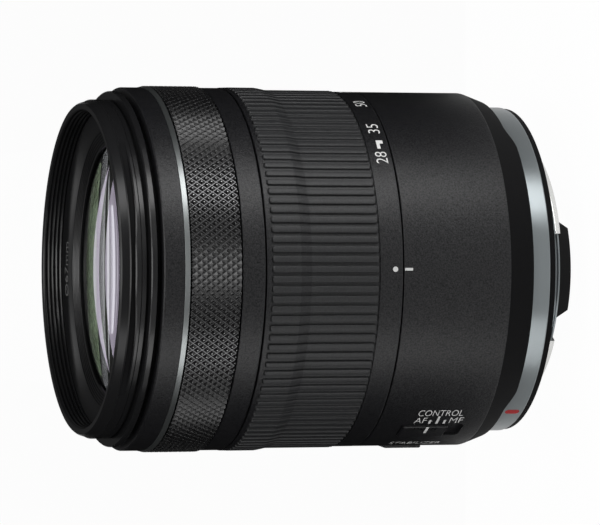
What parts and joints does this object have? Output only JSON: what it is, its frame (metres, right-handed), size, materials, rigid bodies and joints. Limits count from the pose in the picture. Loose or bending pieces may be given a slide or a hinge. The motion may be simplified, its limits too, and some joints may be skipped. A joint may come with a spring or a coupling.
{
  "type": "camera zoom lens",
  "caption": "Retractable zoom lens with a ribbed zoom ring that drives an extending barrel through cams, a knurled control ring, an iris and a bayonet mount.",
  "frame": {"origin": "centre of the mount flange face, on the optical axis", "axes": "+Z along the optical axis towards the subject, -Y the side with the index line"},
  "size_m": [0.0764, 0.0764, 0.1012],
  "materials": {
    "black_coated_plastic": "fine matte paint",
    "dark_inner_plastic": "flat black",
    "black_rubber": "moulded, matte",
    "satin_mount_metal": "turned, satin",
    "silver_accent": "turned, anodised",
    "steel_screws": "plain steel",
    "gold_contacts": "gold plated",
    "circuit_board": "solder mask",
    "alloy_chassis": "black anodised",
    "coated_glass": "polished, anti-reflection coating",
    "inner_glass": "polished",
    "brass_rollers": "turned",
    "copper_coils": "wound wire",
    "iris_blade_steel": "matt black"
  },
  "bodies": {
    "body": {"mount_plate": "satin_mount_metal", "mount_screws": "steel_screws", "mount_gasket": "black_rubber", "rear_baffle": "dark_inner_plastic", "contact_block": "dark_inner_plastic", "contact_pins": "gold_contacts", "main_board": "circuit_board", "rear_frame": "alloy_chassis", "rear_barrel": "black_coated_plastic", "main_barrel": "dark_inner_plastic", "guide_tube": "alloy_chassis", "smooth_ring": "black_coated_plastic", "accent_ring": "silver_accent", "front_ring": "black_coated_plastic", "mid_frame": "alloy_chassis", "stabiliser_magnets": "steel_screws", "iris_base": "dark_inner_plastic", "iris_actuator": "copper_coils", "focus_rods": "steel_screws", "focus_yoke": "steel_screws", "focus_magnet": "steel_screws", "rear_cell": "dark_inner_plastic", "rear_element": "inner_glass", "switch_bases": "dark_inner_plastic"},
    "zoom_ring_body": {"zoom_ring": "black_coated_plastic", "zoom_grip": "black_rubber", "zoom_keys": "steel_screws", "cam_barrel": "alloy_chassis"},
    "control_ring_body": {"control_ring": "black_coated_plastic"},
    "front_barrel": {"inner_barrel": "black_coated_plastic", "filter_ring": "black_coated_plastic", "name_ring": "dark_inner_plastic", "front_cell": "dark_inner_plastic", "front_element": "coated_glass", "second_element": "inner_glass", "front_retainer": "dark_inner_plastic", "front_followers": "brass_rollers"},
    "variator": {"variator_cell": "dark_inner_plastic", "variator_front_element": "inner_glass", "variator_rear_element": "inner_glass", "variator_followers": "brass_rollers"},
    "iris_drive": {"iris_ring": "dark_inner_plastic"},
    "shift_x": {"stabiliser_x_frame": "dark_inner_plastic"},
    "shift_y": {"stabiliser_lens_frame": "dark_inner_plastic", "stabiliser_element": "inner_glass", "stabiliser_coils": "copper_coils"},
    "focus_group": {"focus_cell": "dark_inner_plastic", "focus_element": "inner_glass", "focus_coil": "copper_coils"},
    "mode_switch": {"focus_mode_knob": "black_coated_plastic"},
    "stabiliser_switch": {"stabiliser_knob": "black_coated_plastic"},
    "iris_blade_1": {"iris_blade_1": "iris_blade_steel"},
    "iris_blade_2": {"iris_blade_2": "iris_blade_steel"},
    "iris_blade_3": {"iris_blade_3": "iris_blade_steel"},
    "iris_blade_4": {"iris_blade_4": "iris_blade_steel"},
    "iris_blade_5": {"iris_blade_5": "iris_blade_steel"},
    "iris_blade_6": {"iris_blade_6": "iris_blade_steel"},
    "iris_blade_7": {"iris_blade_7": "iris_blade_steel"},
    "iris_blade_8": {"iris_blade_8": "iris_blade_steel"},
    "iris_blade_9": {"iris_blade_9": "iris_blade_steel"}
  },
  "joints": [
    {"name": "zoom_turn", "type": "hinge", "parent": "body", "child": "zoom_ring_body", "pos_m": [0, 0, 0.048], "axis": [0, 0, -1], "range_deg": [0, 88]},
    {"name": "front_extend", "type": "slide", "parent": "body", "child": "front_barrel", "axis": [0, 0, 1], "range_m": [0, 0.03]},
    {"name": "variator_shift", "type": "slide", "parent": "body", "child": "variator", "axis": [0, 0, -1], "range_m": [0, 0.005]},
    {"name": "control_turn", "type": "hinge", "parent": "body", "child": "control_ring_body", "pos_m": [0, 0, 0.073], "axis": [0, 0, -1], "continuous": true},
    {"name": "iris_turn", "type": "hinge", "parent": "body", "child": "iris_drive", "pos_m": [0, 0, 0.032], "axis": [0, 0, 1], "range_deg": [0, 30]},
    {"name": "shift_x_slide", "type": "slide", "parent": "body", "child": "shift_x", "axis": [1, 0, 0], "range_m": [-0.0008, 0.0008]},
    {"name": "shift_y_slide", "type": "slide", "parent": "shift_x", "child": "shift_y", "axis": [0, 1, 0], "range_m": [-0.0008, 0.0008]},
    {"name": "focus_slide", "type": "slide", "parent": "body", "child": "focus_group", "axis": [0, 0, 1], "range_m": [0, 0.0045]},
    {"name": "mode_switch_slide", "type": "slide", "parent": "body", "child": "mode_switch", "axis": [0, 0, -1], "range_m": [0, 0.0032]},
    {"name": "stabiliser_switch_slide", "type": "slide", "parent": "body", "child": "stabiliser_switch", "axis": [0, 0, -1], "range_m": [0, 0.0028]},
    {"name": "iris_blade_1_turn", "type": "hinge", "parent": "body", "child": "iris_blade_1", "pos_m": [0.0215, 0, 0.03], "axis": [0, 0, 1], "range_deg": [0, 25]},
    {"name": "iris_blade_2_turn", "type": "hinge", "parent": "body", "child": "iris_blade_2", "pos_m": [0.01647, 0.01382, 0.03], "axis": [0, 0, 1], "range_deg": [0, 25]},
    {"name": "iris_blade_3_turn", "type": "hinge", "parent": "body", "child": "iris_blade_3", "pos_m": [0.00373, 0.02117, 0.03], "axis": [0, 0, 1], "range_deg": [0, 25]},
    {"name": "iris_blade_4_turn", "type": "hinge", "parent": "body", "child": "iris_blade_4", "pos_m": [-0.01075, 0.01862, 0.03], "axis": [0, 0, 1], "range_deg": [0, 25]},
    {"name": "iris_blade_5_turn", "type": "hinge", "parent": "body", "child": "iris_blade_5", "pos_m": [-0.0202, 0.00735, 0.03], "axis": [0, 0, 1], "range_deg": [0, 25]},
    {"name": "iris_blade_6_turn", "type": "hinge", "parent": "body", "child": "iris_blade_6", "pos_m": [-0.0202, -0.00735, 0.03], "axis": [0, 0, 1], "range_deg": [0, 25]},
    {"name": "iris_blade_7_turn", "type": "hinge", "parent": "body", "child": "iris_blade_7", "pos_m": [-0.01075, -0.01862, 0.03], "axis": [0, 0, 1], "range_deg": [0, 25]},
    {"name": "iris_blade_8_turn", "type": "hinge", "parent": "body", "child": "iris_blade_8", "pos_m": [0.00373, -0.02117, 0.03], "axis": [0, 0, 1], "range_deg": [0, 25]},
    {"name": "iris_blade_9_turn", "type": "hinge", "parent": "body", "child": "iris_blade_9", "pos_m": [0.01647, -0.01382, 0.03], "axis": [0, 0, 1], "range_deg": [0, 25]}
  ],
  "couplings": [
    {"joint": "front_extend", "follows": "zoom_turn", "m_per_rad": 0.019533},
    {"joint": "variator_shift", "follows": "zoom_turn", "m_per_rad": 0.0032554},
    {"joint": "iris_blade_1_turn", "follows": "iris_turn", "ratio": 0.83333},
    {"joint": "iris_blade_2_turn", "follows": "iris_turn", "ratio": 0.83333},
    {"joint": "iris_blade_3_turn", "follows": "iris_turn", "ratio": 0.83333},
    {"joint": "iris_blade_4_turn", "follows": "iris_turn", "ratio": 0.83333},
    {"joint": "iris_blade_5_turn", "follows": "iris_turn", "ratio": 0.83333},
    {"joint": "iris_blade_6_turn", "follows": "iris_turn", "ratio": 0.83333},
    {"joint": "iris_blade_7_turn", "follows": "iris_turn", "ratio": 0.83333},
    {"joint": "iris_blade_8_turn", "follows": "iris_turn", "ratio": 0.83333},
    {"joint": "iris_blade_9_turn", "follows": "iris_turn", "ratio": 0.83333}
  ]
}
